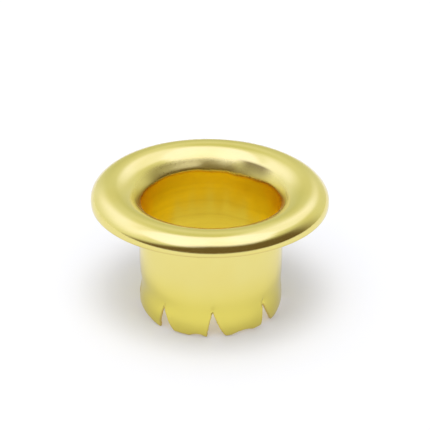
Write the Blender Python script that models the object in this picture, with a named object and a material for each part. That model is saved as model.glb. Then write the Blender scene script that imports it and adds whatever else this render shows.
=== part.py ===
"""Brass grommet eyelet, drawn from one disc of thin sheet, with a torn and notched setting end.

The eyelet stands on the tips of its teeth. The origin is on its axis, in the plane of those tips, and +Z is up.
Seen from the front, the viewer looks along +Y and angles turn from there towards +X.
"""

import math
from collections import namedtuple

import bmesh
import bpy
from mathutils import Vector

MM = 0.001

# Sheet and bore
SHEET = 0.25 * MM
BORE_DIAMETER = 12.0 * MM
HEIGHT = 11.7 * MM

# Flange: a funnel climbs from the bore to the crest, then the roll falls to a short upright lip
FUNNEL_RUN = 2.5 * MM
ROLL_RUN = 1.75 * MM
ROLL_DROP = 1.25 * MM
LIP_HEIGHT = 0.36 * MM

# Down the funnel the sheet bends in stages: over the crown and the brow, hard at the shoulder, hardly at all along
# the cone, and hard again at the throat, where it meets the bore. A stage is an arc, with its length as a share of
# the whole sheet down the funnel, and the fall that it ends with, in degrees below level.
Stage = namedtuple("Stage", "share fall steps")
CROWN = Stage(share=0.21, fall=19, steps=2)
BROW = Stage(share=0.215, fall=30, steps=1)
SHOULDER = Stage(share=0.22, fall=51, steps=3)
CONE = Stage(share=0.21, fall=61, steps=1)
THROAT = Stage(share=0.145, fall=90, steps=3)

# Barrel: the star punch pulls in a waist at the roots of the teeth and tucks in their tips
WAIST_DEPTH = 0.12 * MM
WAIST_HEIGHT = 2.4 * MM
WAIST_SPREAD = 1.4 * MM
TIP_TUCK = 0.14 * MM
TIP_TUCK_HEIGHT = 0.9 * MM

# Notches: one flank of each tear is steep, the other slants away and rounds the next tooth's corner
NOTCH_DEPTH = 2.3 * MM
STEEP_RUN = 0.42 * MM
SLANT_RUN = 1.35 * MM

# Where each flank's curve is pulled to: shares of its run, and of the notch's depth above the tips
STEEP_PULL_ALONG = 0.85
STEEP_PULL_UP = 0.45
SLANT_PULL_ALONG = 0.62
SLANT_PULL_UP = 0.10

# Bites: the shallow hollow that the punch leaves in the lower edge of a tooth
BITE_DEPTH = 0.30 * MM

# Steps of the revolved sheet and of the cut outlines
TURN_STEPS = 72
ROLL_STEPS = 6
BARREL_STEPS = 8
FLANK_STEPS = 5
BITE_STEPS = 6

# The tears are alike but not equal. A notch is set off its even place by a turn in degrees, and its depth and its
# two runs are given as shares of the sizes above. The bite is in the tooth that follows the notch: where its middle
# is and how wide it is, as shares of the tooth, and how deep it is as a share of BITE_DEPTH.
Tear = namedtuple("Tear", "turn depth steep slant bite_at bite_width bite_depth")
TEARS = (
    Tear(turn=0.0, depth=1.04, steep=1.10, slant=0.95, bite_at=0.45, bite_width=0.55, bite_depth=1.00),
    Tear(turn=0.5, depth=0.96, steep=0.45, slant=1.05, bite_at=0.62, bite_width=0.60, bite_depth=0.90),
    Tear(turn=-1.5, depth=1.02, steep=0.90, slant=0.90, bite_at=0.40, bite_width=0.50, bite_depth=0.70),
    Tear(turn=1.2, depth=0.95, steep=0.70, slant=1.05, bite_at=0.55, bite_width=0.45, bite_depth=0.80),
    Tear(turn=-0.5, depth=1.05, steep=1.00, slant=1.00, bite_at=0.50, bite_width=0.40, bite_depth=0.60),
    Tear(turn=0.6, depth=0.98, steep=0.60, slant=0.95, bite_at=0.38, bite_width=0.55, bite_depth=0.90),
    Tear(turn=-0.6, depth=1.00, steep=0.85, slant=1.05, bite_at=0.58, bite_width=0.50, bite_depth=0.75),
    Tear(turn=2.5, depth=0.92, steep=0.95, slant=0.95, bite_at=0.55, bite_width=0.60, bite_depth=1.00),
)
FIRST_NOTCH_TURN = 2.0

BRASS_COLOUR = (0.80, 0.62, 0.14, 1.0)
BRASS_ROUGHNESS = 0.22
SHARP_ANGLE = math.radians(35)

# Places that follow from the sizes
BORE_RADIUS = BORE_DIAMETER / 2
CREST_RADIUS = BORE_RADIUS + FUNNEL_RUN
WIDEST_HEIGHT = HEIGHT - ROLL_DROP
BARREL_RADIUS = BORE_RADIUS + SHEET
CUT_MARGIN = 4 * SHEET
CUT_FOOT = SHEET / 2


def clear_scene():
    """Remove every object that the file opened with."""
    for thing in list(bpy.data.objects):
        bpy.data.objects.remove(thing, do_unlink=True)


def brass():
    """Bright drawn brass with a soft shine."""
    material = bpy.data.materials.new("brass")
    material.use_nodes = True
    shader = material.node_tree.nodes["Principled BSDF"]
    shader.inputs["Base Color"].default_value = BRASS_COLOUR
    shader.inputs["Metallic"].default_value = 1.0
    shader.inputs["Roughness"].default_value = BRASS_ROUGHNESS
    return material


def add_object(name, shape, collection):
    """Turn a bmesh into a named object in a collection."""
    mesh = bpy.data.meshes.new(name)
    bmesh.ops.recalc_face_normals(shape, faces=shape.faces)
    shape.to_mesh(mesh)
    shape.free()
    result = bpy.data.objects.new(name, mesh)
    collection.objects.link(result)
    return result


def roll_line():
    """Points up the roll to the crest, a quarter ellipse, each with the direction from there into the sheet."""
    for step in range(ROLL_STEPS + 1):
        angle = 0.5 * math.pi * step / ROLL_STEPS
        out = Vector((math.cos(angle) / ROLL_RUN, math.sin(angle) / ROLL_DROP)).normalized()
        place = Vector((CREST_RADIUS + ROLL_RUN * math.cos(angle), WIDEST_HEIGHT + ROLL_DROP * math.sin(angle)))
        yield place, -out


def funnel_line():
    """Points down the funnel to the bore, each with the direction from there into the sheet."""
    fall = 0.0
    place = Vector((0.0, 0.0))
    line = [(place, fall)]
    for stage in (CROWN, BROW, SHOULDER, CONE, THROAT):
        bend_step = (math.radians(stage.fall) - fall) / stage.steps
        chord = stage.share / stage.steps * math.sin(0.5 * bend_step) / (0.5 * bend_step)
        for step in range(stage.steps):
            middle = fall + 0.5 * bend_step
            place = place - chord * Vector((math.cos(middle), math.sin(middle)))
            fall += bend_step
            line.append((place, fall))
    size = -FUNNEL_RUN / place.x
    crest = Vector((CREST_RADIUS, HEIGHT))
    return [(crest + size * place, Vector((math.sin(fall), -math.cos(fall)))) for place, fall in line]


def barrel_inset(height):
    """How far the barrel's wall lies inside the bore radius at a height above the tips."""
    from_waist = min(1.0, abs(height - WAIST_HEIGHT) / WAIST_SPREAD)
    waist = WAIST_DEPTH * 0.5 * (1.0 + math.cos(math.pi * from_waist))
    below_tuck = max(0.0, 1.0 - height / TIP_TUCK_HEIGHT)
    return waist + TIP_TUCK * below_tuck ** 2


def barrel_line(top):
    """The bore's wall from below its top to the tips, with steps only where the wall bends."""
    outward = Vector((1.0, 0.0))
    bend_top = min(WAIST_HEIGHT + WAIST_SPREAD, top - SHEET)
    for step in range(BARREL_STEPS + 1):
        height = bend_top * (1.0 - step / BARREL_STEPS)
        yield Vector((BORE_RADIUS - barrel_inset(height), height)), outward


def sheet_section():
    """The closed outline of the sheet in the radius-height plane, at one constant thickness."""
    lip = Vector((CREST_RADIUS + ROLL_RUN, WIDEST_HEIGHT - LIP_HEIGHT)), Vector((-1.0, 0.0))
    roll = list(roll_line())
    funnel = funnel_line()
    line = [lip] + roll + funnel[1:] + list(barrel_line(funnel[-1][0].y))
    face_side = [place for place, inward in line]
    back_side = [place + SHEET * inward for place, inward in line]
    return face_side + back_side[::-1]


def revolved_sheet():
    """Spin the section once round the axis."""
    shape = bmesh.new()
    ring = [shape.verts.new((point.x, 0.0, point.y)) for point in sheet_section()]
    edges = [shape.edges.new((a, b)) for a, b in zip(ring, ring[1:] + ring[:1])]
    bmesh.ops.spin(
        shape,
        geom=ring + edges,
        cent=(0.0, 0.0, 0.0),
        axis=(0.0, 0.0, 1.0),
        angle=2 * math.pi,
        steps=TURN_STEPS,
        use_merge=True,
    )
    return shape


def bend(start, control, end, steps):
    """Points of a quadratic curve, without its start."""
    for step in range(1, steps + 1):
        share = step / steps
        yield (1 - share) ** 2 * start + 2 * share * (1 - share) * control + share ** 2 * end


def notch_outline(tear):
    """The tear's outline: along the wall from its root, and up from the tips, with its feet just below them."""
    depth = NOTCH_DEPTH * tear.depth
    steep = STEEP_RUN * tear.steep
    slant = SLANT_RUN * tear.slant
    root = Vector((0.0, depth))
    steep_foot = Vector((-steep, -CUT_FOOT))
    slant_foot = Vector((slant, -CUT_FOOT))
    steep_pull = Vector((-STEEP_PULL_ALONG * steep, STEEP_PULL_UP * depth))
    slant_pull = Vector((SLANT_PULL_ALONG * slant, SLANT_PULL_UP * depth))
    steep_side = list(bend(root, steep_pull, steep_foot, FLANK_STEPS))
    slant_side = list(bend(root, slant_pull, slant_foot, FLANK_STEPS))
    return [root] + slant_side + steep_side[::-1]


def bite_outline(width, depth):
    """A shallow hollow: an arch of a given width where it leaves the plane of the tips."""
    reach = 0.5 * width * math.sqrt(1.0 + CUT_FOOT / depth)
    arch = []
    for step in range(BITE_STEPS + 1):
        along = reach * (2.0 * step / BITE_STEPS - 1.0)
        arch.append(Vector((along, depth * (1.0 - (2.0 * along / width) ** 2))))
    return arch


def wall_cutter(name, outline, turn, collection):
    """Push an outline through the barrel's wall, along the radius at a turn from the front."""
    angle = math.radians(turn)
    outward = Vector((math.sin(angle), -math.cos(angle), 0.0))
    along = Vector((math.cos(angle), math.sin(angle), 0.0))
    start = (BORE_RADIUS - WAIST_DEPTH - TIP_TUCK - CUT_MARGIN) * outward
    throw = (BARREL_RADIUS + CUT_MARGIN) * outward - start
    shape = bmesh.new()
    corners = [shape.verts.new(start + point.x * along + Vector((0.0, 0.0, point.y))) for point in outline]
    near = shape.faces.new(corners)
    far = bmesh.ops.extrude_face_region(shape, geom=[near])
    moved = [item for item in far["geom"] if isinstance(item, bmesh.types.BMVert)]
    bmesh.ops.translate(shape, verts=moved, vec=throw)
    cutter = add_object(name, shape, collection)
    cutter.hide_render = True
    cutter.display_type = "WIRE"


def tear_cutters():
    """One cutter for each notch, and one for the bite in the tooth after it."""
    collection = bpy.data.collections.new("tear_cutters")
    bpy.context.scene.collection.children.link(collection)
    pitch = 360.0 / len(TEARS)
    degrees_per_length = math.degrees(1.0 / BARREL_RADIUS)
    turns = [FIRST_NOTCH_TURN + pitch * index + tear.turn for index, tear in enumerate(TEARS)]
    for index, tear in enumerate(TEARS):
        following = (index + 1) % len(TEARS)
        tooth_start = turns[index] + SLANT_RUN * tear.slant * degrees_per_length
        tooth_end = turns[following] - STEEP_RUN * TEARS[following].steep * degrees_per_length
        tooth_turn = (tooth_end - tooth_start) % 360.0
        bite_turn = tooth_start + tear.bite_at * tooth_turn
        bite_width = tear.bite_width * tooth_turn / degrees_per_length
        bite = bite_outline(bite_width, BITE_DEPTH * tear.bite_depth)
        wall_cutter(f"notch_cutter_{index + 1}", notch_outline(tear), turns[index], collection)
        wall_cutter(f"bite_cutter_{index + 1}", bite, bite_turn, collection)
    return collection


def eyelet_shell():
    """The whole eyelet: the revolved sheet with its lower edge torn into teeth."""
    shell = add_object("eyelet_shell", revolved_sheet(), bpy.context.scene.collection)
    shell.data.materials.append(brass())
    cut = shell.modifiers.new("tears", "BOOLEAN")
    cut.operation = "DIFFERENCE"
    cut.solver = "EXACT"
    cut.operand_type = "COLLECTION"
    cut.collection = tear_cutters()
    shell.data.shade_smooth()
    shell.data.set_sharp_from_angle(angle=SHARP_ANGLE)
    return shell


clear_scene()
eyelet_shell()
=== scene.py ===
# %% [markdown]
# # A brass grommet eyelet
#
# An eyelet is one disc of thin brass sheet, drawn in a press. The press turns the rim of the disc into a
# rolled flange and draws its middle down into a short barrel. A star-shaped punch then breaks through the
# closed end, and leaves teeth that a die later curls over a washer. This lesson dresses the plain CAD solid
# of that eyelet: it makes a finer surface in the same place, gives it the finish of drawn brass, and sets
# it in a small white studio.

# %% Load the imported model
import math
from collections import namedtuple

import bpy
import numpy as np
from mathutils import Matrix, Vector


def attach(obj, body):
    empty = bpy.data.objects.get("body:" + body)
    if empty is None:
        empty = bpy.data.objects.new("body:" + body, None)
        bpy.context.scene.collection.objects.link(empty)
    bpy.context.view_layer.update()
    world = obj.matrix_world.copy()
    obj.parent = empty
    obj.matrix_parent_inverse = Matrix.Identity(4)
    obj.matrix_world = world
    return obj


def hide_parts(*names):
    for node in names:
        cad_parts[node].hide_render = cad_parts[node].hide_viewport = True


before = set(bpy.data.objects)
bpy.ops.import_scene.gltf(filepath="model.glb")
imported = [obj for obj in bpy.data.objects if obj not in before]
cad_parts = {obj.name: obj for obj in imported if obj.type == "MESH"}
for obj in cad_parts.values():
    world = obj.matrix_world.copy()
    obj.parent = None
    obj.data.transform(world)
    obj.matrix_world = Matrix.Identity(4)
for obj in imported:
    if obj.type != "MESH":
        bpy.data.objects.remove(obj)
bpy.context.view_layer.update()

# %% [markdown]
# ## The camera
#
# The photograph looks down on the eyelet from about 28 degrees, with a long lens from close by, so that the
# flange is a slim ellipse with hardly any perspective. A camera is a position, a direction and a focal
# length. Here the position follows from the point that it looks at, its elevation and its distance, which
# are easier to think about than three coordinates. The picture leans by half a degree, as a camera held by
# hand does.

# %% Camera
MM = 0.001
AIM = Vector((0.452, -0.153, 8.71)) * MM
CAMERA_ELEVATION = math.radians(27.83)
CAMERA_DISTANCE = 145 * MM
CAMERA_LEAN = math.radians(0.5)
FOCAL_LENGTH = 140.36
NEAREST_SEEN = 0.01
FARTHEST_SEEN = 20.0


def camera_turn(elevation, lean):
    """Rotation of a camera that looks along +Y and down by the elevation, leaning about its view line."""
    look_down = Matrix.Rotation(math.radians(90) - elevation, 3, "X")
    return (look_down @ Matrix.Rotation(lean, 3, "Z")).to_euler()


camera_data = bpy.data.cameras.new("camera")
camera_data.lens = FOCAL_LENGTH
camera_data.clip_start = NEAREST_SEEN
camera_data.clip_end = FARTHEST_SEEN
camera = bpy.data.objects.new("camera", camera_data)
bpy.context.scene.collection.objects.link(camera)
back_along_view = Vector((0.0, -math.cos(CAMERA_ELEVATION), math.sin(CAMERA_ELEVATION)))
camera.location = AIM + CAMERA_DISTANCE * back_along_view
camera.rotation_euler = camera_turn(CAMERA_ELEVATION, CAMERA_LEAN)
bpy.context.scene.camera = camera
bpy.context.scene.view_settings.view_transform = "Standard"
print("camera at", tuple(round(value, 4) for value in camera.location))

# %% [markdown]
# ## Small helpers for node trees
#
# A material is a graph of nodes. Writing each link out takes many lines, so a few helpers keep the later
# cells short: a Math node, a Map Range node that rises smoothly between two values, a blend of two colours,
# and the sum and the product of several masks.

# %% Node helpers
def math_node(tree, operation, first, second=0.0):
    """A Math node on two inputs, each a number or another node's output; gives back its output."""
    node = tree.nodes.new("ShaderNodeMath")
    node.operation = operation
    for socket, value in zip(node.inputs, (first, second)):
        if isinstance(value, (int, float)):
            socket.default_value = value
        else:
            tree.links.new(value, socket)
    return node.outputs[0]


def smooth_step(tree, value, start, end, low=0.0, high=1.0):
    """A Map Range node: low before start, high after end, and a smooth S between them."""
    node = tree.nodes.new("ShaderNodeMapRange")
    node.interpolation_type = "SMOOTHSTEP"
    tree.links.new(value, node.inputs["Value"])
    node.inputs["From Min"].default_value = start
    node.inputs["From Max"].default_value = end
    node.inputs["To Min"].default_value = low
    node.inputs["To Max"].default_value = high
    return node.outputs["Result"]


def colour_mix(tree, factor, first, second):
    """Blend of two colours, each a colour or another node's output."""
    node = tree.nodes.new("ShaderNodeMix")
    node.data_type = "RGBA"
    tree.links.new(factor, node.inputs["Factor"])
    for socket, value in ((node.inputs[6], first), (node.inputs[7], second)):
        if isinstance(value, tuple):
            socket.default_value = value
        else:
            tree.links.new(value, socket)
    return node.outputs[2]


def weighted_sum(tree, terms):
    """Sum of outputs, each times a number."""
    total = 0.0
    for value, weight in terms:
        total = math_node(tree, "ADD", math_node(tree, "MULTIPLY", value, weight), total)
    return total


def overlap(tree, *masks):
    """Product of masks: full only where every one of them is full."""
    product = masks[0]
    for mask in masks[1:]:
        product = math_node(tree, "MULTIPLY", product, mask)
    return product


print("node helpers ready")

# %% [markdown]
# ## The studio
#
# Polished metal has almost no colour of its own: it shows what stands round it. The bands in the photograph
# tell of white card between pale walls, soft lamps overhead and towards the back, and a dark room in front,
# where the camera stood. The dark room is what draws the brown line round the front of the roll and most of
# the brown patch inside the far side of the funnel; the rest of that patch is a dark reflection painted into
# the brass's colour.
#
# A studio like this can be made of lamps and boards, or painted on the world. The world is chosen because
# its soft edges cost no noise. Each part of it is a smooth window in azimuth (0 to the front, along -Y, and
# positive to the right) and elevation. First come the two angles of a direction, as node outputs.

# %% World: the angles of a direction
def rises(tree, value, edges, low=0.0, high=1.0):
    """A smooth step from low to high between two angles in degrees."""
    start, end = np.radians(edges).tolist()
    return smooth_step(tree, value, start, end, low, high)


def window(tree, value, edges):
    """A soft window: rises between the first two angles and falls between the last two, in degrees."""
    return overlap(tree, rises(tree, value, edges[:2]), rises(tree, value, edges[2:], 1.0, 0.0))


world = bpy.data.worlds.new("studio")
bpy.context.scene.world = world
world.use_nodes = True
studio = world.node_tree
studio.nodes.clear()
direction = studio.nodes.new("ShaderNodeTexCoord")
axes = studio.nodes.new("ShaderNodeSeparateXYZ")
studio.links.new(direction.outputs["Generated"], axes.inputs[0])
upward = axes.outputs["Z"]
frontward = math_node(studio, "MULTIPLY", axes.outputs["Y"], -1.0)
elevation = math_node(studio, "ARCSINE", upward)
azimuth = math_node(studio, "ARCTAN2", axes.outputs["X"], frontward)
print("world nodes for the angles:", len(studio.nodes))

# %% [markdown]
# The walls are one even light with four paler parts on it: the ceiling, the wall behind the eyelet, and a
# wall at each side. The side walls are not alike, because the photograph's are not: its left is brighter.

# %% Walls and ceiling
WALL_LIGHT = 0.66
CEILING_GAIN = 0.06
CEILING_FOOT = (25, 72)
BACK_GAIN = 0.18
BACK_EDGES = (-0.85, -0.55)
BACK_FOOT = (15, 40)
LEFT_SIDE_GAIN = 0.22
LEFT_SIDE = (-172, -145, -40, 0)
RIGHT_SIDE_GAIN = 0.13
RIGHT_SIDE = (60, 110, 155, 179)

ceiling = rises(studio, elevation, CEILING_FOOT)
back_across = smooth_step(studio, frontward, *BACK_EDGES, 1.0, 0.0)
back_wall = overlap(studio, back_across, rises(studio, elevation, BACK_FOOT))
walls = weighted_sum(studio, (
    (ceiling, CEILING_GAIN),
    (back_wall, BACK_GAIN),
    (window(studio, azimuth, LEFT_SIDE), LEFT_SIDE_GAIN),
    (window(studio, azimuth, RIGHT_SIDE), RIGHT_SIDE_GAIN),
    (1.0, WALL_LIGHT),
))
print("wall light from", WALL_LIGHT, "to", round(WALL_LIGHT + CEILING_GAIN + BACK_GAIN + LEFT_SIDE_GAIN, 2))

# %% [markdown]
# Three lamps give the bright bands. One stands at the back left, one at the back right with a slanting
# edge, and a round one hangs overhead, tilted a little to the front. A round lamp is a cap of directions
# about its middle, so its edge is a step in the angle from the lamp's own level plane.

# %% Lamps
LAMP_GAIN = 0.28
LEFT_LAMP = (-168, -138, -92, -62)
LEFT_LAMP_UPWARD = (8, 45, 50, 62)
RIGHT_LAMP_RISE = (174, 190)
RIGHT_LAMP_SLANT = 1.2
RIGHT_LAMP_FALL = (160, 176)
RIGHT_LAMP_FOOT = (8, 45)
TOP_LAMP_GAIN = 0.5
TOP_LAMP_FOOT = (48, 58)
LAMP_TILT = math.radians(12)


def hanging_lamp(tree, foot):
    """A round lamp overhead, tilted to the front: asin(up cos t + front sin t) rises through its foot."""
    tilted = weighted_sum(tree, ((upward, math.cos(LAMP_TILT)), (frontward, math.sin(LAMP_TILT))))
    return rises(tree, math_node(tree, "ARCSINE", tilted), foot)


left_lamp = overlap(studio, window(studio, azimuth, LEFT_LAMP), window(studio, elevation, LEFT_LAMP_UPWARD))
right_slant = weighted_sum(studio, ((azimuth, 1.0), (elevation, RIGHT_LAMP_SLANT)))
right_lamp = overlap(
    studio,
    rises(studio, right_slant, RIGHT_LAMP_RISE),
    rises(studio, azimuth, RIGHT_LAMP_FALL, 1.0, 0.0),
    rises(studio, elevation, RIGHT_LAMP_FOOT),
)
lamps = weighted_sum(studio, (
    (left_lamp, LAMP_GAIN),
    (right_lamp, LAMP_GAIN),
    (hanging_lamp(studio, TOP_LAMP_FOOT), TOP_LAMP_GAIN),
))
print("world nodes with the lamps:", len(studio.nodes))

# %% [markdown]
# In the photograph the bright parts of the brass are cool and the dull parts are a deeper gold: the lamps
# are cooler than the walls. So the blue of what the metal sees grows with a power of the light, and is
# least in the walls. The dark room in front is laid over the rest. It is a window too, with slanting edges,
# because the brown line on the roll thins out towards the left.

# %% What the metal sees
BRIGHTEST = 1.26
COOLNESS = 1.34
COOL_POWER = 2.45
ROOM_COLOUR = (0.155, 0.108, 0.070, 1.0)
ROOM_LEFT = (-103, -60)
ROOM_LEFT_SLANT = -1.25
ROOM_RIGHT = (85, 132)
ROOM_UPWARD = (-40, -30, 51, 71)
ROOM_SLANT = 0.16


def joined_colour(tree, warm, blue):
    """A colour whose red and green are one output and whose blue is another."""
    node = tree.nodes.new("ShaderNodeCombineColor")
    tree.links.new(warm, node.inputs["Red"])
    tree.links.new(warm, node.inputs["Green"])
    tree.links.new(blue, node.inputs["Blue"])
    return node.outputs[0]


seen = math_node(studio, "MINIMUM", weighted_sum(studio, ((walls, 1.0), (lamps, 1.0))), BRIGHTEST)
blue = math_node(studio, "MULTIPLY", math_node(studio, "POWER", seen, COOL_POWER), COOLNESS)
room_left_slant = weighted_sum(studio, ((azimuth, 1.0), (elevation, ROOM_LEFT_SLANT)))
room_slant = weighted_sum(studio, ((elevation, 1.0), (azimuth, ROOM_SLANT)))
room = overlap(
    studio,
    rises(studio, room_left_slant, ROOM_LEFT),
    rises(studio, azimuth, ROOM_RIGHT, 1.0, 0.0),
    window(studio, room_slant, ROOM_UPWARD),
)
in_metal = colour_mix(studio, room, joined_colour(studio, seen, blue), ROOM_COLOUR)
print("blue is", round(COOLNESS * WALL_LIGHT ** (COOL_POWER - 1), 2), "of the red in the walls")

# %% [markdown]
# White card would turn blue under such a sky, and would show every lamp that only the metal needs. So rays
# that leave the card see a greyer mix: the same walls, a wide lamp in front, and a small strong one almost
# overhead, which gives the soft shadow under the eyelet. The camera itself sees plain white past the card.

# %% What the card sees, and the finished world
FRONT_LAMP = (-75, -35, 35, 75)
FRONT_LAMP_UPWARD = (15, 30, 60, 85)
CARD_LAMP_FOOT = (70, 84)
CARD_SHARES = {"walls": 0.84, "front": 0.80, "overhead": 5.6}
CARD_COOLNESS = 0.08
WHITE = (1.0, 1.0, 1.0, 1.0)

front_upward = window(studio, elevation, FRONT_LAMP_UPWARD)
front_lamp = overlap(studio, window(studio, azimuth, FRONT_LAMP), front_upward)
warm_on_card = weighted_sum(studio, (
    (walls, CARD_SHARES["walls"]),
    (front_lamp, CARD_SHARES["front"]),
    (hanging_lamp(studio, CARD_LAMP_FOOT), CARD_SHARES["overhead"]),
))
blue_on_card = weighted_sum(studio, ((warm_on_card, 1.0), (walls, CARD_COOLNESS)))
on_card = joined_colour(studio, warm_on_card, blue_on_card)
path = studio.nodes.new("ShaderNodeLightPath")
light = colour_mix(studio, path.outputs["Is Glossy Ray"], on_card, in_metal)
light = colour_mix(studio, path.outputs["Is Camera Ray"], light, WHITE)
background = studio.nodes.new("ShaderNodeBackground")
world_output = studio.nodes.new("ShaderNodeOutputWorld")
studio.links.new(light, background.inputs["Color"])
studio.links.new(background.outputs[0], world_output.inputs["Surface"])
print("world nodes in all:", len(studio.nodes))

# %% [markdown]
# ## The floor
#
# The eyelet stands on white card. The floor is one flat square, far wider than the picture, with a matt
# white material, so the soft shadow round the teeth is a true shadow and not a painted one.

# %% Floor
FLOOR_HALF = 1.0

corners = FLOOR_HALF * np.array([(-1, -1, 0), (1, -1, 0), (1, 1, 0), (-1, 1, 0)], dtype=float)
floor_mesh = bpy.data.meshes.new("floor")
floor_mesh.from_pydata(corners.tolist(), [], [(0, 1, 2, 3)])
floor = bpy.data.objects.new("floor", floor_mesh)
bpy.context.scene.collection.objects.link(floor)
print("floor:", 2 * FLOOR_HALF, "m wide")

# %% [markdown]
# The card is matt white, with a faint cool glow that keeps the far ground white. Its image in the metal gets
# three touches of its own. It is a little cooler, it turns into the dark room past the card's front edge,
# and it is brighter inside the eyelet's foot, where light falls down through the bore.

# %% Card material
FLOOR_WHITE = (0.885, 0.89, 0.87, 1.0)
FLOOR_IN_METAL = (0.81, 0.80, 0.87, 1.0)
CARD_EDGE = (34 * MM, 66 * MM)
FLOOR_GLOW = 0.04
GLOW_COLOUR = (0.8, 0.9, 1.6, 1.0)
BORE_FLOOR = (5.0 * MM, 6.5 * MM)
BORE_FLOOR_GLOW = 0.13
CARD_ROUGHNESS = 0.9


def distance_from_axis(tree, across, along):
    """Distance from the bore's axis: the root of x squared plus y squared."""
    squares = (math_node(tree, "MULTIPLY", across, across), math_node(tree, "MULTIPLY", along, along))
    return math_node(tree, "SQRT", math_node(tree, "ADD", *squares))


card = bpy.data.materials.new("white_card")
card.use_nodes = True
tree = card.node_tree
shader = tree.nodes["Principled BSDF"]
path = tree.nodes.new("ShaderNodeLightPath")
in_mirror = path.outputs["Is Glossy Ray"]
axes = tree.nodes.new("ShaderNodeSeparateXYZ")
tree.links.new(tree.nodes.new("ShaderNodeTexCoord").outputs["Object"], axes.inputs[0])
toward_front = math_node(tree, "MULTIPLY", axes.outputs["Y"], -1.0)
past_edge = overlap(tree, smooth_step(tree, toward_front, *CARD_EDGE), in_mirror)
white = colour_mix(tree, in_mirror, FLOOR_WHITE, FLOOR_IN_METAL)
tree.links.new(colour_mix(tree, past_edge, white, ROOM_COLOUR), shader.inputs["Base Color"])
from_axis = distance_from_axis(tree, axes.outputs["X"], axes.outputs["Y"])
in_foot = overlap(tree, smooth_step(tree, from_axis, *BORE_FLOOR, 1.0, 0.0), in_mirror)
seen_directly = math_node(tree, "MAXIMUM", path.outputs["Is Camera Ray"], in_mirror)
glow = weighted_sum(tree, ((seen_directly, FLOOR_GLOW), (in_foot, BORE_FLOOR_GLOW)))
tree.links.new(glow, shader.inputs["Emission Strength"])
shader.inputs["Emission Color"].default_value = GLOW_COLOUR
shader.inputs["Roughness"].default_value = CARD_ROUGHNESS
shader.inputs["Specular IOR Level"].default_value = 0.0
floor_mesh.materials.append(card)
print("card nodes:", len(tree.nodes))

# %% [markdown]
# ## Sizes of the sheet
#
# All sizes below are in millimetres, as on a drawing, and become metres only when a mesh is made. They are
# the sizes of the CAD solid, so the finer surface lies where the solid lies. Down the funnel the sheet
# bends in five stages. Each has its share of the sheet's length there and the fall, in degrees, that it
# ends with.

# %% Sizes in millimetres
SHEET = 0.25
BORE_RADIUS = 6.0
BARREL_RADIUS = BORE_RADIUS + SHEET
HEIGHT = 11.7
FUNNEL_RUN = 2.5
FUNNEL_STAGES = {
    "crown": (0.21, 19),
    "brow": (0.215, 30),
    "shoulder": (0.22, 51),
    "cone": (0.21, 61),
    "throat": (0.145, 90),
}
ROLL_RUN = 1.75
ROLL_DROP = 1.25
LIP_HEIGHT = 0.36
CREST_RADIUS = BORE_RADIUS + FUNNEL_RUN
WIDEST_HEIGHT = HEIGHT - ROLL_DROP
LEVEL_HEIGHT = 3.4
print("flange", 2 * (CREST_RADIUS + ROLL_RUN), "mm, bore", 2 * BORE_RADIUS, "mm, height", HEIGHT, "mm")

# %% [markdown]
# ## The torn edge
#
# The star punch splits the closed end of the cup from its centre outwards. Each split runs up the barrel as
# a pointed notch. It leans: one flank is steep, and the other slants away and rounds the next tooth. The
# lower edge of each tooth is the old blanked edge, slightly hollow where the punch bit it.
#
# The edge could be drawn by hand as points, or cut by a Boolean. Here it is a height over the place along
# the wall: the greatest of the notch curves and the tooth hollows. Taking the greatest of several curves is
# how a cutter leaves an edge, and it works on whole arrays at once.
#
# No two tears are alike. Each has its own turn in degrees, shares of the usual depth and runs, and, for the
# tooth that follows it, how far its two ends are lifted and where and how deep its lower line is bitten.

# %% The eight tears
NOTCH_DEPTH = 2.3
STEEP_RUN = 0.42
SLANT_RUN = 1.35
FIRST_NOTCH_TURN = 2.0
Tear = namedtuple("Tear", "turn depth steep slant start_lift end_lift bite_at bite_width bite_depth")
TEARS = (
    Tear(0.0, 1.04, 1.10, 0.95, 0.10, 0.22, 0.42, 0.60, 0.26),
    Tear(0.5, 0.96, 0.45, 1.05, 0.12, 1.05, 0.62, 0.60, 0.05),
    Tear(-1.5, 1.02, 0.90, 0.90, 0.10, 0.15, 0.40, 0.50, 0.21),
    Tear(1.2, 0.95, 0.70, 1.05, 0.05, 0.00, 0.55, 0.45, 0.24),
    Tear(-0.5, 1.05, 1.00, 1.00, 0.00, 0.20, 0.50, 0.40, 0.18),
    Tear(0.6, 0.98, 0.60, 0.95, 0.10, 0.05, 0.38, 0.55, 0.27),
    Tear(-0.6, 1.00, 0.85, 1.05, 0.55, 0.00, 0.58, 0.50, 0.05),
    Tear(2.5, 0.92, 0.95, 0.95, 0.12, 0.06, 0.70, 0.45, 0.22),
)
ROUND_WALL = 2 * math.pi * BARREL_RADIUS
PER_DEGREE = ROUND_WALL / 360.0
PITCH = ROUND_WALL / len(TEARS)
ROOTS = FIRST_NOTCH_TURN * PER_DEGREE + PITCH * np.arange(len(TEARS))
ROOTS = ROOTS + PER_DEGREE * np.array([tear.turn for tear in TEARS])
print("roots of the notches along the wall, mm:", ROOTS.round(2).tolist())

# %% [markdown]
# A flank is a quadratic curve, pulled towards one point. The pull's place is a share of the flank's run and
# a share of the notch's depth above the tips: far out and half way up for the steep flank, low for the
# slanting one.

# %% Torn edge as a height along the wall
STEEP_PULL = (0.85, 0.45)
SLANT_PULL = (0.62, 0.10)
FLANK_POINTS = 60
BEFORE_ROOT = 0.1
TOOTH_REACH = (-0.45, 1.15)
LIFT_POWER = 1.5


def bend(start, pull, end, share):
    """Quadratic curve: (1 - s)^2 start + 2 s (1 - s) pull + s^2 end, for an array of shares s."""
    return (1 - share) ** 2 * start + 2 * share * (1 - share) * pull + share ** 2 * end


def offset_from(along, root):
    """Signed distance along the wall from a root, the short way round."""
    return (along - root + 0.5 * ROUND_WALL) % ROUND_WALL - 0.5 * ROUND_WALL


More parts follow.
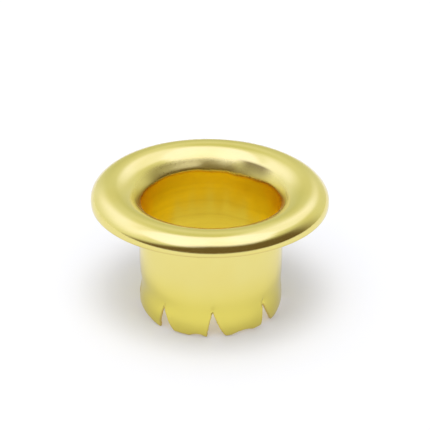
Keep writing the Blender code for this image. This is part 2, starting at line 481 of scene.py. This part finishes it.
def notch_height(offset, tear):
    """Height of the notch's edge at each distance from its root: two curves that fall to the tips."""
    share = np.linspace(0.0, 1.0, FLANK_POINTS)
    depth = NOTCH_DEPTH * tear.depth
    steep = STEEP_RUN * tear.steep
    slant = SLANT_RUN * tear.slant
    steep_x = bend(0.0, -STEEP_PULL[0] * steep, -steep, share)[::-1]
    steep_z = bend(depth, STEEP_PULL[1] * depth, 0.0, share)[::-1]
    slant_x = bend(0.0, SLANT_PULL[0] * slant, slant, share)
    slant_z = bend(depth, SLANT_PULL[1] * depth, 0.0, share)
    outline_x = np.concatenate((steep_x, slant_x[1:]))
    outline_z = np.concatenate((steep_z, slant_z[1:]))
    return np.interp(offset, outline_x, outline_z, left=0.0, right=0.0)


def tooth_height(along, index):
    """Lower line of the tooth after a tear: two lifted ends, share^1.5 each, and a hollow bite between."""
    tear = TEARS[index]
    following = (index + 1) % len(TEARS)
    start = SLANT_RUN * tear.slant
    end = ROOTS[following] - ROOTS[index] - STEEP_RUN * TEARS[following].steep
    end = end + (ROUND_WALL if following == 0 else 0.0)
    past_root = (along - ROOTS[index] + BEFORE_ROOT * PITCH) % ROUND_WALL - BEFORE_ROOT * PITCH
    share = (past_root - start) / (end - start)
    from_start = np.clip(1.0 - share, 0.0, 1.0) ** LIFT_POWER
    from_end = np.clip(share, 0.0, 1.0) ** LIFT_POWER
    bite = np.clip(1.0 - ((share - tear.bite_at) / (0.5 * tear.bite_width)) ** 2, 0.0, 1.0)
    lower = tear.start_lift * from_start + tear.end_lift * from_end + tear.bite_depth * bite
    return np.where((share > TOOTH_REACH[0]) & (share < TOOTH_REACH[1]), lower, 0.0)


def torn_height(along):
    """Greatest of all notch curves and of all the teeth's lower lines."""
    height = np.zeros_like(along)
    for index, tear in enumerate(TEARS):
        height = np.maximum(height, notch_height(offset_from(along, ROOTS[index]), tear))
        height = np.maximum(height, tooth_height(along, index))
    return height


print("height above the tips at each root, mm:", torn_height(ROOTS).round(2).tolist())

# %% [markdown]
# A height over the wall is too steep at the notches to use as it is, so it becomes a curve walked at equal
# steps of its own length. Smoothing along that length rounds the corners by a few hundredths of a
# millimetre, as tearing and tumbling do, and a little seeded raggedness keeps the edge from looking ruled.

# %% Torn edge as a curve
OUTLINE_POINTS = 32768
WALK = 16384
CORNER_ROUNDING = 0.045
DIRECTION_ROUNDING = 0.16
LEAST_DIRECTION = 0.45
RAGGED = 0.010
RAGGED_WIDTHS = (0.05, 0.25)
RAGGED_SEED = 7


def smooth_round(values, step, width):
    """Gaussian smoothing of a closed sequence, done as a product with the filter's transform."""
    frequency = np.fft.rfftfreq(len(values), step)
    bell = np.exp(-2.0 * (math.pi * width * frequency) ** 2)
    return np.fft.irfft(np.fft.rfft(values) * bell, len(values))


def walk_evenly(along, height, count):
    """The curve's points at equal steps of its own length, and that step."""
    closed_along = np.append(along, along[0] + ROUND_WALL)
    closed_height = np.append(height, height[0])
    parts = np.hypot(np.diff(closed_along), np.diff(closed_height))
    lengths = np.concatenate(([0.0], np.cumsum(parts)))
    places = np.arange(count) * lengths[-1] / count
    step = lengths[-1] / count
    return np.interp(places, lengths, closed_along), np.interp(places, lengths, closed_height), step


def ragged(count, step):
    """Seeded noise along the edge, smoothed finely less smoothed broadly, of unit size."""
    noise = np.random.default_rng(RAGGED_SEED).standard_normal(count)
    fine, broad = RAGGED_WIDTHS
    rough = smooth_round(noise, step, fine) - smooth_round(noise, step, broad)
    return rough / rough.std()


def edge_curve():
    """Place and height along the edge, the direction into the sheet, how hard it turns, and the step."""
    along = np.linspace(0.0, ROUND_WALL, OUTLINE_POINTS, endpoint=False) - 0.5 * ROUND_WALL
    along, height, step = walk_evenly(along, torn_height(along), WALK)
    trend = along[0] + ROUND_WALL * np.arange(WALK) / WALK
    x = trend + smooth_round(along - trend, step, CORNER_ROUNDING)
    z = smooth_round(height, step, CORNER_ROUNDING)
    slope_x = np.gradient(x, step)
    slope_z = np.gradient(z, step)
    in_x = smooth_round(-slope_z, step, DIRECTION_ROUNDING)
    in_z = smooth_round(slope_x, step, DIRECTION_ROUNDING)
    size = np.maximum(np.hypot(in_x, in_z), LEAST_DIRECTION)
    in_x, in_z = in_x / size, in_z / size
    shake = RAGGED * ragged(WALK, step)
    turning = np.hypot(np.gradient(slope_x, step), np.gradient(slope_z, step))
    return x + shake * in_x, z + shake * in_z, in_x, in_z, turning, step


curve = edge_curve()
print("length of the torn edge:", round(WALK * curve[5], 1), "mm in", WALK, "steps")

# %% [markdown]
# The mesh has far fewer columns than the curve has points. The columns crowd together a little where the
# edge turns sharply, at the roots and the tips, so that these stay crisp.

# %% Columns of the mesh along the torn edge
COLUMNS = 640
CROWDING = 0.22
CROWDING_WIDTH = 0.08
SHARPEST_TURN = 9.0


def edge_columns(x, z, in_x, in_z, turning, step):
    """Place, height and inward direction at columns spaced by 1 / (1 + c turning) along the curve."""
    crowded = smooth_round(np.minimum(turning, SHARPEST_TURN), step, CROWDING_WIDTH)
    reached = np.concatenate(([0.0], np.cumsum(1.0 + CROWDING * crowded)))
    whole = np.arange(WALK + 1)
    pick = np.interp(np.arange(COLUMNS) * reached[-1] / COLUMNS, reached, whole)

    def at_columns(values, gain=0.0):
        return np.interp(pick, whole, np.append(values, values[0] + gain))

    return at_columns(x, ROUND_WALL), np.maximum(at_columns(z), 0.0), at_columns(in_x), at_columns(in_z)


edge_x, edge_z, inward_x, inward_z = edge_columns(*curve)
print("torn edge: highest root", round(edge_z.max(), 3), "mm; lowest tip", round(edge_z.min(), 4), "mm")

# %% [markdown]
# ## The sheet as a grid
#
# The whole eyelet is one sheet of constant thickness, so it is one grid: columns run round the axis and
# rows run along the sheet, from the lip over the roll, down the funnel and the barrel to the torn edge.
# Each grid point is a place on the sheet's upper face, which further down is the bore's wall, with a
# direction across the sheet. The second face lies one thickness away, and at both edges the thickness falls
# to nothing along a quarter circle, which rounds them.
#
# A Screw modifier on a profile would make the flange but not the leaning notches. A grid whose last rows
# bend to follow the torn edge makes both, and keeps every face a tidy quad.

# %% Rows of the flange and of the upper barrel
EDGE_REACH = 0.085
EDGE_TURNS = np.radians([0.0, 20.0, 42.0, 66.0, 90.0])
LIP_ROWS = (0.16, 0.25, LIP_HEIGHT)
ROLL_STEPS = 14
FUNNEL_STEPS = 28
WALL_STEPS = 6
STAGE_BLUR = 0.03
LINE_POINTS = 2001


def edge_rows():
    """Distance from an edge and half thickness there: e (1 - cos t) and T sin t."""
    return EDGE_REACH * (1.0 - np.cos(EDGE_TURNS)), 0.5 * SHEET * np.sin(EDGE_TURNS)


def roll_rows():
    """Quarter ellipse about the crest circle without its first row: place, and direction into the sheet."""
    angle = np.radians(np.linspace(0.0, 90.0, ROLL_STEPS + 1)[1:])
    out_r, out_z = np.cos(angle) / ROLL_RUN, np.sin(angle) / ROLL_DROP
    size = np.hypot(out_r, out_z)
    radius = CREST_RADIUS + ROLL_RUN * np.cos(angle)
    return radius, WIDEST_HEIGHT + ROLL_DROP * np.sin(angle), -out_r / size, -out_z / size


def funnel_line():
    """Radius, height and fall down the funnel: the stages' falls, blurred, then summed up along the sheet."""
    stages = np.array(list(FUNNEL_STAGES.values()))
    walked = np.linspace(0.0, stages[:, 0].sum(), LINE_POINTS)
    step = walked[1]
    fall = np.interp(walked, np.append(0.0, np.cumsum(stages[:, 0])), np.append(0.0, stages[:, 1]))
    reach = int(3 * STAGE_BLUR / step)
    padded = np.concatenate((-fall[reach:0:-1], fall, np.full(reach, fall[-1])))
    bell = np.exp(-(np.arange(-reach, reach + 1) * step / STAGE_BLUR) ** 2)
    fall = np.radians(np.convolve(padded, bell / bell.sum(), "valid"))
    middle = 0.5 * (fall[1:] + fall[:-1])
    run = np.append(0.0, np.cumsum(np.cos(middle)))
    drop = np.append(0.0, np.cumsum(np.sin(middle)))
    size = FUNNEL_RUN / run[-1]
    return CREST_RADIUS - size * run, HEIGHT - size * drop, fall


def funnel_rows():
    """Rows of the funnel without its first: place, and unit direction into the sheet."""
    radius, height, fall = funnel_line()
    pick = np.linspace(0, len(radius) - 1, FUNNEL_STEPS + 1).astype(int)[1:]
    return radius[pick], height[pick], np.sin(fall[pick]), -np.cos(fall[pick])


FUNNEL_FOOT = float(funnel_line()[1][-1])
print("the funnel meets the bore", round(FUNNEL_FOOT, 2), "mm above the tips")

# %% [markdown]
# The rows of the lip, the roll, the funnel and the upper wall follow one another in one list. Each row also
# gets its distance along the sheet, counted from the crest, because marks of drawing follow the sheet.

# %% Flange rows joined
Flange = namedtuple("Flange", "radius height across_r across_z halves from_crest")


def flange_rows():
    """Face line of the sheet from the lip's edge to the level circle above the teeth."""
    reach, half = edge_rows()
    lip = np.concatenate((reach, LIP_ROWS))
    roll = roll_rows()
    funnel = funnel_rows()
    wall = np.linspace(FUNNEL_FOOT, LEVEL_HEIGHT, WALL_STEPS + 1)[1:]
    flat = np.ones_like(lip)
    tall = np.ones_like(wall)
    radius = np.concatenate(((CREST_RADIUS + ROLL_RUN) * flat, roll[0], funnel[0], BORE_RADIUS * tall))
    height = np.concatenate((WIDEST_HEIGHT - LIP_HEIGHT + lip, roll[1], funnel[1], wall))
    across_r = np.concatenate((-flat, roll[2], funnel[2], tall))
    across_z = np.concatenate((0.0 * flat, roll[3], funnel[3], 0.0 * tall))
    halves = np.full(len(radius), 0.5 * SHEET)
    halves[:len(half)] = half
    walked = np.concatenate(([0.0], np.cumsum(np.hypot(np.diff(radius), np.diff(height)))))
    from_crest = walked - walked[len(lip) + len(roll[0]) - 1]
    return Flange(radius, height, across_r, across_z, halves, from_crest)


flange = flange_rows()
print("flange rows:", len(flange.radius), "sheet from", flange.from_crest[[0, -1]].round(2).tolist(), "mm")

# %% [markdown]
# ## What the press left uneven
#
# Real pressings are not perfectly round. In the photograph the near right of the flange sits a little
# lower, the barrel stands slightly to the right of the flange, the waist is deeper on the left, and the
# sheet is creased for half a millimetre above each root, where the split stopped. Inside the far side of
# the funnel a pleat begins at the right, below one level line, and the sheet swells a little at the left.
#
# A sculpted mesh could hold this too. Small smooth functions of the azimuth and the height are chosen
# because each has one meaning and can be changed by itself. None of them lifts the crest or widens the
# flange, so the surface stays inside the CAD solid's box.

# %% Uneven barrel
WAIST_DEPTH = 0.22
WAIST_HEIGHT = 2.4
WAIST_SPREAD = 1.7
WAIST_ALL_ROUND = 0.28
WAIST_ON_LEFT = 0.72
WAIST_IN_FRONT = 0.1
LEFT_FROM = -0.2
LEFT_GROWTH = 0.8
TIP_TUCK = 0.06
TIP_TUCK_HEIGHT = 1.0
CREASE_DEPTH = 0.11
CREASE_ABOVE_ROOT = 0.2
CREASE_WIDTH = 0.13
CREASE_TALL = 0.35


def smooth(value):
    """The S curve 3v^2 - 2v^3 between 0 and 1."""
    value = np.clip(value, 0.0, 1.0)
    return value * value * (3.0 - 2.0 * value)


def barrel_inset(turn, height):
    """How far the wall lies in from the bore radius: a cosine bell, deeper on the left, and a tuck."""
    away = np.minimum(1.0, np.abs(height - WAIST_HEIGHT) / WAIST_SPREAD)
    bell = 0.5 * (1.0 + np.cos(math.pi * away))
    on_left = smooth(LEFT_FROM - LEFT_GROWTH * np.sin(turn))
    depth = WAIST_DEPTH * (WAIST_ALL_ROUND + WAIST_ON_LEFT * on_left + WAIST_IN_FRONT * np.cos(turn))
    tuck = TIP_TUCK * np.maximum(0.0, 1.0 - height / TIP_TUCK_HEIGHT) ** 2
    return depth * bell + tuck


def root_creases(along, height):
    """A dent above each root: exp(-(x / width)^2 - (z / tall)^2) about a middle a little above the root."""
    dent = np.zeros_like(along)
    for root, tear in zip(ROOTS, TEARS):
        rise = height - (NOTCH_DEPTH * tear.depth + CREASE_ABOVE_ROOT)
        dent += np.exp(-(offset_from(along, root) / CREASE_WIDTH) ** 2 - (rise / CREASE_TALL) ** 2)
    return CREASE_DEPTH * dent


waist_left = float(barrel_inset(np.radians(-90.0), WAIST_HEIGHT))
waist_right = float(barrel_inset(np.radians(90.0), WAIST_HEIGHT))
print("waist depth, mm: left", round(waist_left, 3), "right", round(waist_right, 3))

# %% Uneven flange and funnel
FLANGE_DROP = 0.16
DROP_TOWARDS = math.radians(50)
DROP_SHARE = 0.8
BARREL_SHIFT = 0.12
SHIFT_BELOW_CREST = 0.4
PLEAT_TURN = (120, 140, 158, 169)
PLEAT_TOP = 11.07
PLEAT_DROP = 0.24
PLEAT_FADE = 3.0
SWELL_TURN = (-178, -166, -140, -120)
SWELL_RISE = 0.20
SWELL_FROM = 0.2
SWELL_FOOT = 0.4
SWELL_FADE = 0.5


def press_marks(turn, radius, height):
    """Shift of the barrel to the right below the funnel, and drop of the flange towards the near right."""
    depth = HEIGHT - FUNNEL_FOOT
    below_crest = (HEIGHT - SHIFT_BELOW_CREST - height) / (depth - SHIFT_BELOW_CREST)
    into_barrel = smooth(below_crest) * (radius < CREST_RADIUS)
    on_flange = smooth((height - FUNNEL_FOOT) / (DROP_SHARE * depth))
    drop = FLANGE_DROP * 0.5 * (1.0 + np.cos(turn - DROP_TOWARDS)) * on_flange
    return BARREL_SHIFT * into_barrel, drop


def turn_window(turn, edges):
    """Rises between the first two turns in degrees and falls between the last two."""
    turn = (np.degrees(turn) + 180.0) % 360.0 - 180.0
    rise = smooth((turn - edges[0]) / (edges[1] - edges[0]))
    return rise * smooth((edges[3] - turn) / (edges[3] - edges[2]))


def funnel_warp(turn, radius, height):
    """Rise of the funnel: a swell at the far left, less a straight ramp below the pleat at the far right."""
    below = (PLEAT_TOP - height) / (PLEAT_TOP - FUNNEL_FOOT)
    pleat = PLEAT_DROP * np.clip(below, 0.0, 1.0) * smooth((height - LEVEL_HEIGHT) / PLEAT_FADE)
    swell_foot = smooth((height - FUNNEL_FOOT + SWELL_FOOT) / SWELL_FADE)
    swell = SWELL_RISE * smooth((below - SWELL_FROM) / (1.0 - SWELL_FROM)) * swell_foot
    warp = swell * turn_window(turn, SWELL_TURN) - pleat * turn_window(turn, PLEAT_TURN)
    return warp * (radius < CREST_RADIUS)


print("flange drops by", FLANGE_DROP, "mm; the pleat by up to", PLEAT_DROP, "mm")

# %% [markdown]
# ## Building the surface
#
# The rows above the level circle keep the columns evenly turned. Below it each row is a blend between that
# circle and a curve just inside the torn edge, so the columns fan in towards the notches. The sheet flares
# by a hair along the tear. Then the two faces and the two rounded edges are stacked into one closed ring of
# rows.

# %% Rows above the torn edge
LOWER_ROWS = 13
ROW_CROWDING = 1.5
MARGIN = 0.12


def lower_rows():
    """Place along the wall, height, half thickness and distance from the tear, below the level circle."""
    level_x = edge_x.mean() - 0.5 * ROUND_WALL + ROUND_WALL * (np.arange(COLUMNS) + 0.5) / COLUMNS
    share = (1.0 - np.arange(1, LOWER_ROWS + 1) / LOWER_ROWS)[:, None] ** ROW_CROWDING
    start_x, start_z = edge_x + MARGIN * inward_x, edge_z + MARGIN * inward_z
    blend_x = (1.0 - share) * start_x + share * level_x
    blend_z = (1.0 - share) * start_z + share * LEVEL_HEIGHT
    reach, half = edge_rows()
    reach, half = reach[::-1, None], half[::-1, None]
    rim_x, rim_z = edge_x + reach * inward_x, edge_z + reach * inward_z
    x = np.concatenate((blend_x, rim_x))
    z = np.maximum(np.concatenate((blend_z, rim_z)), 0.0)
    halves = np.concatenate((np.full((LOWER_ROWS, 1), 0.5 * SHEET), half))
    inside = np.concatenate((MARGIN + share * (LEVEL_HEIGHT - start_z), reach * np.ones_like(edge_x)))
    return level_x, x, z, halves, inside


level_x, wall_x, wall_z, wall_half, wall_inside = lower_rows()
print("rows below the level circle:", len(wall_x))

# %% Grid of the whole sheet
EDGE_FLARE = 0.05
FLARE_REACH = 0.12
FLARE_FOOT = 0.25
FLARE_FADE = 0.5
FAR_AWAY = 9.0


def over_columns(rows):
    """The same value in every column, for each row."""
    return rows[:, None] * np.ones(COLUMNS)


turn = np.concatenate((over_columns(np.ones(len(flange.radius))) * level_x, wall_x)) / BARREL_RADIUS
height = np.concatenate((over_columns(flange.height), wall_z))
radius = np.concatenate((over_columns(flange.radius), np.full_like(wall_x, BORE_RADIUS)))
across_r = np.concatenate((over_columns(flange.across_r), np.ones_like(wall_x)))
across_z = np.concatenate((over_columns(flange.across_z), np.zeros_like(wall_x)))
half = np.concatenate((over_columns(flange.halves), wall_half * np.ones(COLUMNS)))
from_tear = np.concatenate((over_columns(np.full(len(flange.radius), FAR_AWAY)), wall_inside))
wall_length = flange.from_crest[-1] + LEVEL_HEIGHT - wall_z
along_sheet = np.concatenate((over_columns(flange.from_crest), wall_length))

flare = EDGE_FLARE * np.exp(-from_tear / FLARE_REACH) * smooth((height - FLARE_FOOT) / FLARE_FADE)
inset = barrel_inset(turn, height) + root_creases(turn * BARREL_RADIUS, height) - flare
radius = radius - (height < FUNNEL_FOOT) * inset
shift, drop = press_marks(turn, radius, height)
drop = drop - funnel_warp(turn, radius, height)
middle_r = radius + 0.5 * SHEET * across_r
middle_z = height + 0.5 * SHEET * across_z


def side_points(sign):
    """Points of one face: the middle of the sheet, moved half a thickness across it."""
    r = middle_r + sign * half * across_r
    z = middle_z + sign * half * across_z - drop
    return np.stack((r * np.sin(turn) + shift, -r * np.cos(turn), np.maximum(z, 0.0)), axis=-1)


face, back = side_points(-1.0), side_points(1.0)
rings = np.concatenate((face, back[-2:0:-1]))
row_of = np.concatenate((np.arange(len(face)), np.arange(len(face))[-2:0:-1]))
print("grid:", rings.shape, "triangles:", 2 * rings.shape[0] * rings.shape[1])

# %% [markdown]
# The grid becomes a mesh in one go. Every ring joins the next, and the last joins the first, so the sheet
# is closed and has no seam. The volume inside tells whether the faces point outwards: it would be negative
# if they pointed in.

# %% Grid to mesh
def closed_grid_mesh(name, grid):
    """Mesh whose vertices are the grid's points and whose quads join neighbours, wrapping both ways."""
    ring_count, column_count = grid.shape[:2]
    index = np.arange(ring_count * column_count).reshape(ring_count, column_count)
    right = np.roll(index, -1, axis=1)
    below = np.roll(index, -1, axis=0)
    corner = np.roll(right, -1, axis=0)
    quads = np.stack((index, right, corner, below), axis=-1).reshape(-1, 4)
    mesh = bpy.data.meshes.new(name)
    mesh.vertices.add(ring_count * column_count)
    mesh.vertices.foreach_set("co", (grid * MM).astype(np.float32).ravel())
    mesh.loops.add(quads.size)
    mesh.loops.foreach_set("vertex_index", quads.astype(np.int32).ravel())
    mesh.polygons.add(len(quads))
    mesh.polygons.foreach_set("loop_start", np.arange(0, quads.size, 4, dtype=np.int32))
    mesh.update(calc_edges=True)
    mesh.validate()
    mesh.shade_smooth()
    return mesh


def enclosed_volume(grid):
    """Signed volume inside the closed grid, by summing a . (b x c) / 6 over its triangles."""
    right = np.roll(grid, -1, axis=1)
    below = np.roll(grid, -1, axis=0)
    corner = np.roll(right, -1, axis=0)
    first = np.einsum("ijk,ijk->ij", grid, np.cross(right, corner))
    second = np.einsum("ijk,ijk->ij", grid, np.cross(corner, below))
    return (first + second).sum() / 6.0


shell_mesh = closed_grid_mesh("brass_eyelet", rings)
print("signed volume:", round(enclosed_volume(rings), 2), "cubic mm")

# %% [markdown]
# ## Where the finish and the painted light change
#
# The finish isn't the same everywhere, and some light and shade is painted into it. The bore is painted a
# deeper gold for light bounced inside it, a band in it is a deeper orange, the cut edges are bare and
# darker, the lip's lower edge also carries painted shade, the wall turns a more saturated gold towards the
# tips, part of the funnel carries a painted dark reflection of the room, and part of it is hazed. Each of
# these is a mask, a number from 0 to 1 kept on every vertex, which the material reads as an attribute.
# Masks are made here, from the same turn and height as the shape, because a pattern in object space
# couldn't tell the funnel's face from the back of the sheet, a quarter of a millimetre away.

# %% Masks on the mesh
BORE_GOLD_TOP = 10.2
BORE_GOLD_DIP = 0.4
BORE_GOLD_FADE = 0.6
DEEP_ORANGE_BAND_HEIGHT = 9.05
DEEP_ORANGE_BAND_WIDTH = 0.45
DEEP_ORANGE_BAND_ALL_ROUND = 0.45
CUT_REACH = 0.10
LIP_SHADE_REACH = 0.11
TIP_GOLD_TOP = 6.0
TIP_GOLD_FADE = 4.0


def keep_on_points(name, values):
    """Store one number for each grid point as an attribute that the material can read."""
    attribute = shell_mesh.attributes.new(name, "FLOAT", "POINT")
    attribute.data.foreach_set("value", values.astype(np.float32).ravel())
    print(name, "from", round(float(values.min()), 2), "to", round(float(values.max()), 2))


on_face = (np.arange(len(rings)) < len(face))[:, None]
in_funnel = on_face * (radius < CREST_RADIUS)[row_of]
# The in_bore mask also marks where a deeper gold is painted for the light bounced inside the bore.
bore_top = BORE_GOLD_TOP - BORE_GOLD_DIP * (1.0 + np.cos(turn))
keep_on_points("in_bore", in_funnel * smooth((bore_top - height) / BORE_GOLD_FADE)[row_of])
# A band round the bore at one height turns a deeper orange, most at the sides.
deep_orange_band_at_sides = DEEP_ORANGE_BAND_ALL_ROUND + (1.0 - DEEP_ORANGE_BAND_ALL_ROUND) * np.sin(turn) ** 2
deep_orange_band = np.exp(-((height - DEEP_ORANGE_BAND_HEIGHT) / DEEP_ORANGE_BAND_WIDTH) ** 2) * deep_orange_band_at_sides
keep_on_points("deep_orange_band", in_funnel * deep_orange_band[row_of])
# The torn edges are bare and darker; the line along the lip's lower edge is partly that bare cut edge and
# partly painted shade under the lip.
from_lip = np.where(radius > CREST_RADIUS, np.abs(height - flange.height[0]), FAR_AWAY)
cut_edge_and_lip_shade = np.exp(-from_tear / CUT_REACH) + np.exp(-(from_lip / LIP_SHADE_REACH) ** 2)
keep_on_points("cut_edge_and_lip_shade", cut_edge_and_lip_shade[row_of])
# Below a height the wall turns a more saturated gold towards the tips.
keep_on_points("gold_towards_tips", smooth((TIP_GOLD_TOP - height[row_of]) / TIP_GOLD_FADE))
keep_on_points("along_sheet", along_sheet[row_of])

# %% Painted dark reflection and hazed parts of the funnel
DARK_REFLECTION_TURN = (120, 138, 148, 162)
DARK_REFLECTION_EDGE = 0.06
DARK_REFLECTION_FOOT = 9.7
THROAT_HEIGHT = 9.98
THROAT_WIDTH = 0.10
THROAT_DARK_REFLECTION = 0.45
HAZE_TOP = 11.2
HAZE_LIFT = 0.5
HAZE_FADE = 0.5

# A patch at the far right of the funnel, below the pleat, and a thin band round the far throat carry a
# painted dark reflection of the room in front.
below_pleat = smooth((PLEAT_TOP - height) / DARK_REFLECTION_EDGE)
above_foot = smooth((height - DARK_REFLECTION_FOOT) / (PLEAT_TOP - DARK_REFLECTION_FOOT))
patch = turn_window(turn, DARK_REFLECTION_TURN) * below_pleat * above_foot
throat = THROAT_DARK_REFLECTION * np.exp(-((height - THROAT_HEIGHT) / THROAT_WIDTH) ** 2) * smooth(-np.cos(turn))
keep_on_points("painted_dark_reflection", in_funnel * np.maximum(patch, throat)[row_of])
haze_top = HAZE_TOP + HAZE_LIFT * smooth(np.cos(turn))
hazed = smooth((haze_top - height) / HAZE_FADE) * smooth((height - FUNNEL_FOOT) / HAZE_FADE)
keep_on_points("hazed", in_funnel * hazed[row_of])

# %% [markdown]
# ## Drawn brass
#
# The sheet is a pale gold metal, softly polished. Its base colour is what it does to light that it mirrors
# once. In a real bore light bounces between gold walls and comes out deeper than this render gives by
# itself, so a deeper gold is painted into the bore's colour for that bounced light. Faint rings round the
# axis, left by the drawing, vary it: their noise is fine along the sheet and long round the axis.

# %% Brass: helpers and the pattern of the drawn rings
ROUND_SCALE = 20.0

brass = bpy.data.materials.new("pale_gold_brass")
brass.use_nodes = True
tree = brass.node_tree
shader = tree.nodes["Principled BSDF"]
shader.inputs["Metallic"].default_value = 1.0
place = tree.nodes.new("ShaderNodeTexCoord").outputs["Object"]


def noise_node(tree, vector, scale, detail=2.0, roughness=0.5):
    """Noise texture at a scale in cells for each unit of the vector."""
    node = tree.nodes.new("ShaderNodeTexNoise")
    tree.links.new(vector, node.inputs["Vector"])
    node.inputs["Scale"].default_value = scale
    node.inputs["Detail"].default_value = detail
    node.inputs["Roughness"].default_value = roughness
    return node.outputs["Fac"]


def attribute_node(tree, name):
    """The number that the mesh keeps under a name."""
    node = tree.nodes.new("ShaderNodeAttribute")
    node.attribute_name = name
    return node.outputs["Fac"]


axes = tree.nodes.new("ShaderNodeSeparateXYZ")
tree.links.new(place, axes.inputs[0])
drawn = tree.nodes.new("ShaderNodeCombineXYZ")
tree.links.new(attribute_node(tree, "along_sheet"), drawn.inputs["X"])
tree.links.new(math_node(tree, "MULTIPLY", axes.outputs["X"], ROUND_SCALE), drawn.inputs["Y"])
tree.links.new(math_node(tree, "MULTIPLY", axes.outputs["Y"], ROUND_SCALE), drawn.inputs["Z"])
bore = attribute_node(tree, "in_bore")
haze = attribute_node(tree, "hazed")
print("rings: 1 unit is 1 mm along the sheet and", round(1.0 / ROUND_SCALE / MM), "mm across the axis")

# %% Brass: colour
PALE_GOLD = (0.865, 0.772, 0.235, 1.0)
WARM_GOLD = (0.860, 0.752, 0.210, 1.0)
# More saturated gold towards the tips.
TOOTH_GOLD = (0.87, 0.775, 0.15, 1.0)
# Brown of the painted dark reflection on the far funnel.
PAINTED_REFLECTION_BROWN = (0.27, 0.21, 0.06, 1.0)
# Painted deeper gold in the bore: it stands for light bounced between the gold walls.
BORE_GOLD = (0.985, 0.80, 0.072, 1.0)
RING_GOLD = (0.88, 0.66, 0.04, 1.0)
# Deeper orange of the band round the bore.
DEEP_ORANGE_BAND_GOLD = (0.82, 0.56, 0.02, 1.0)
# Darker gold of the bare cut edges, which along the lip's lower edge is also painted shade.
CUT_EDGE_AND_SHADE_GOLD = (0.66, 0.50, 0.12, 1.0)
TONE_SCALE = 260.0
TONE_EDGES = (0.35, 0.75)
RING_SCALE = 3.0
RING_EDGES = (0.3, 0.75)
RING_SHARE = 0.5

tone = smooth_step(tree, noise_node(tree, place, TONE_SCALE, detail=3.0), *TONE_EDGES)
gold = colour_mix(tree, tone, PALE_GOLD, WARM_GOLD)
gold = colour_mix(tree, attribute_node(tree, "gold_towards_tips"), gold, TOOTH_GOLD)
# Painted dark reflection of the room on the far funnel.
gold = colour_mix(tree, attribute_node(tree, "painted_dark_reflection"), gold, PAINTED_REFLECTION_BROWN)
drawn_rings = noise_node(tree, drawn.outputs[0], RING_SCALE)
drawn_rings = smooth_step(tree, drawn_rings, *RING_EDGES, 0.0, RING_SHARE)
deep_gold = colour_mix(tree, drawn_rings, BORE_GOLD, RING_GOLD)
deep_gold = colour_mix(tree, attribute_node(tree, "deep_orange_band"), deep_gold, DEEP_ORANGE_BAND_GOLD)
gold = colour_mix(tree, bore, gold, deep_gold)
gold = colour_mix(tree, attribute_node(tree, "cut_edge_and_lip_shade"), gold, CUT_EDGE_AND_SHADE_GOLD)
tree.links.new(gold, shader.inputs["Base Color"])
print("brass nodes with the colour:", len(tree.nodes))

# %% [markdown]
# How sharp a mirror the brass is, its roughness, varies a little from place to place, and is greater in the
# bore and in the hazed funnel. Marks that are far smaller than the mesh can hold go through Bump nodes,
# each laid over the one before: slow waves from the press, satin grain where the sheet was stretched over
# the die, and faint lines along the drawn rings. The bore is rubbed almost free of grain, and the haze is
# coarser.

# %% Brass: blur and fine relief
SATIN_SCALE = 5200.0
SATIN_EDGES = (0.25, 0.75)
SATIN_ROUGHNESS = (0.11, 0.17)
BORE_BLUR = 0.08
HAZE_BLUR = 0.16
WAVE_SCALE = 420.0
WAVE_DEPTH = 0.010 * MM
GRAIN_SCALE = 6000.0
GRAIN_DEPTH = 0.0012 * MM
HAZE_GRAIN = 4.5
BORE_GRAIN = -0.9
LINE_SCALE = 5.0
LINE_DEPTH = 0.0015 * MM


def bump_node(tree, height, distance, normal=None):
    """Bump of a given depth in metres, laid over another normal."""
    node = tree.nodes.new("ShaderNodeBump")
    node.inputs["Strength"].default_value = 1.0
    node.inputs["Distance"].default_value = distance
    tree.links.new(height, node.inputs["Height"])
    if normal is not None:
        tree.links.new(normal, node.inputs["Normal"])
    return node.outputs["Normal"]


satin = noise_node(tree, place, SATIN_SCALE, detail=4.0, roughness=0.6)
satin = smooth_step(tree, satin, *SATIN_EDGES, *SATIN_ROUGHNESS)
satin = weighted_sum(tree, ((satin, 1.0), (bore, BORE_BLUR), (haze, HAZE_BLUR)))
tree.links.new(satin, shader.inputs["Roughness"])
waves = bump_node(tree, noise_node(tree, place, WAVE_SCALE, detail=1.0), WAVE_DEPTH)
grain = weighted_sum(tree, ((haze, HAZE_GRAIN), (bore, BORE_GRAIN), (1.0, 1.0)))
grain = math_node(tree, "MULTIPLY", noise_node(tree, place, GRAIN_SCALE), grain)
grained = bump_node(tree, grain, GRAIN_DEPTH, waves)
lines = noise_node(tree, drawn.outputs[0], LINE_SCALE, detail=3.0)
lined = bump_node(tree, lines, LINE_DEPTH, grained)
tree.links.new(lined, shader.inputs["Normal"])
shell_mesh.materials.append(brass)
print("brass nodes in all:", len(tree.nodes))

# %% [markdown]
# ## The finished piece
#
# The new surface stands for the plain CAD node, rides on the only body, and wears the brass material made
# above. Light bounces many times inside the bore and turns deeper gold each time, so the renderer is allowed
# more reflections than it would use by itself.

# %% Place the piece
GLOSSY_BOUNCES = 12
ALL_BOUNCES = 16

shell = bpy.data.objects.new("brass_eyelet", shell_mesh)
bpy.context.scene.collection.objects.link(shell)
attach(shell, "root")
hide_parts("eyelet_shell")
bpy.context.scene.cycles.glossy_bounces = GLOSSY_BOUNCES
bpy.context.scene.cycles.max_bounces = ALL_BOUNCES
print("placed:", shell.name, "with", len(shell_mesh.polygons), "quads")
